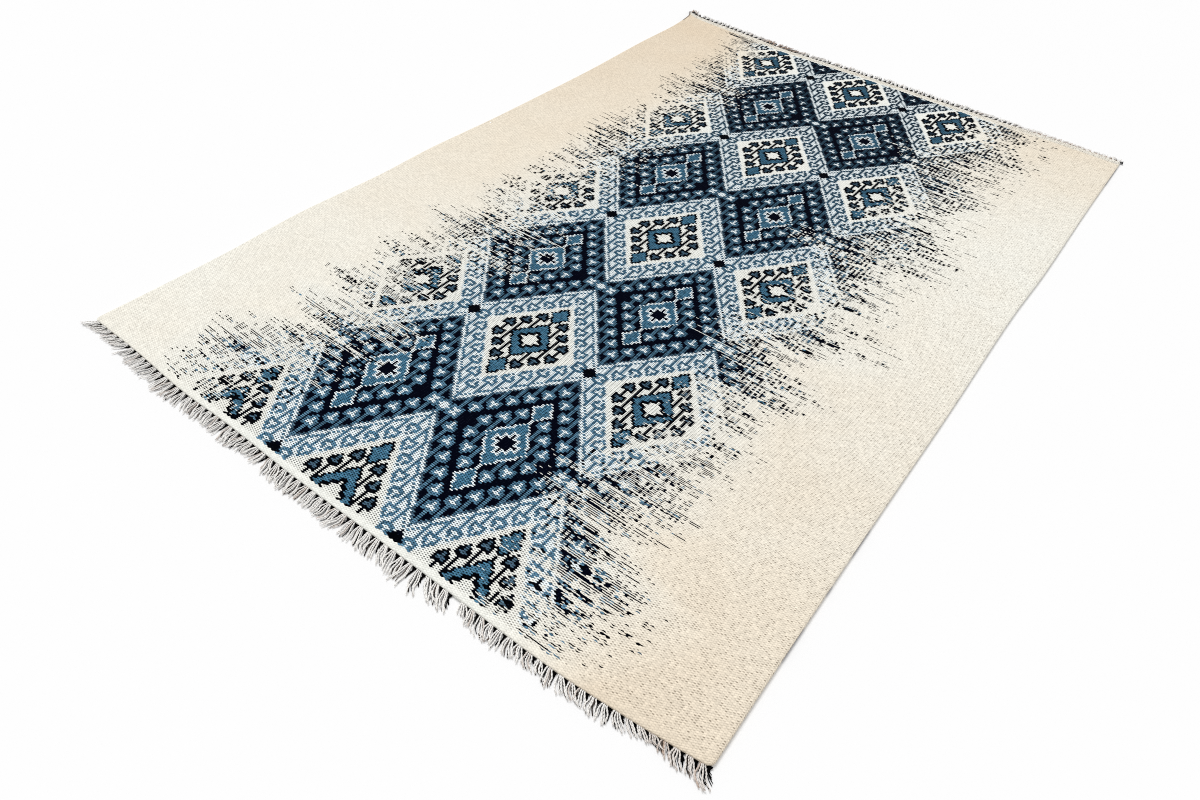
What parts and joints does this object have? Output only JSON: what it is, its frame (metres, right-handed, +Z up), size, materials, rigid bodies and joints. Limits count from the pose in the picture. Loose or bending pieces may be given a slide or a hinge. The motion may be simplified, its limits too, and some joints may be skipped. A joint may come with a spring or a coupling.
{
  "type": "dhurrie rug",
  "caption": "Flat-woven rectangular rug lying flat, with slightly wavy edges, plain end webs and a twisted-yarn fringe along both short ends.",
  "frame": {"origin": "middle of the whole rug, fringe included, on the surface that it lies on", "axes": "+X across the rug from its left side to its right, +Y along it from the near fringe to the far one, +Z up"},
  "size_m": [1.5504, 2.4732, 0.006],
  "materials": {
    "woven_cloth": "matt chunky flat weave in ivory, black-navy and teal yarn",
    "fringe_yarn": "matt twisted ivory yarn"
  },
  "bodies": {
    "root": {"woven_body": "woven_cloth", "fringe_near": "fringe_yarn", "fringe_far": "fringe_yarn"}
  },
  "joints": []
}
